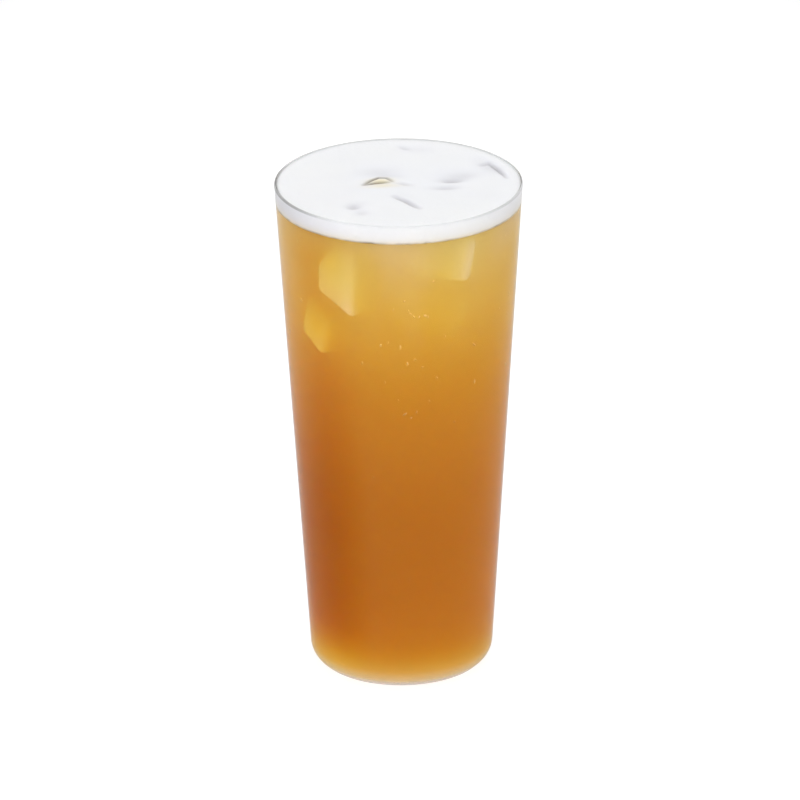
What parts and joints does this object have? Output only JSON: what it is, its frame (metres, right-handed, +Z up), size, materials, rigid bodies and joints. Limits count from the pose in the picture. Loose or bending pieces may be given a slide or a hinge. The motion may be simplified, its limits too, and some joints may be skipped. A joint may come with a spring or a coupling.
{
  "type": "bubble tea",
  "caption": "Tall tapered clear tumbler filled with amber iced tea under a white foam head that reaches the lip.",
  "frame": {"origin": "on the table at the middle of the base, on the axis of the glass", "axes": "+Z up along the axis of the glass, -Y towards the side the picture shows, +X to its right"},
  "size_m": [0.09, 0.09, 0.1875],
  "materials": {
    "glass": "clear and polished, thin, with a rounded lip",
    "tea": "amber tea, slightly cloudy, with ice in it, lighter near the top",
    "foam": "soft white milk foam, matte, faintly uneven"
  },
  "bodies": {
    "root": {"glass": "glass", "tea": "tea", "foam": "foam"}
  },
  "joints": []
}
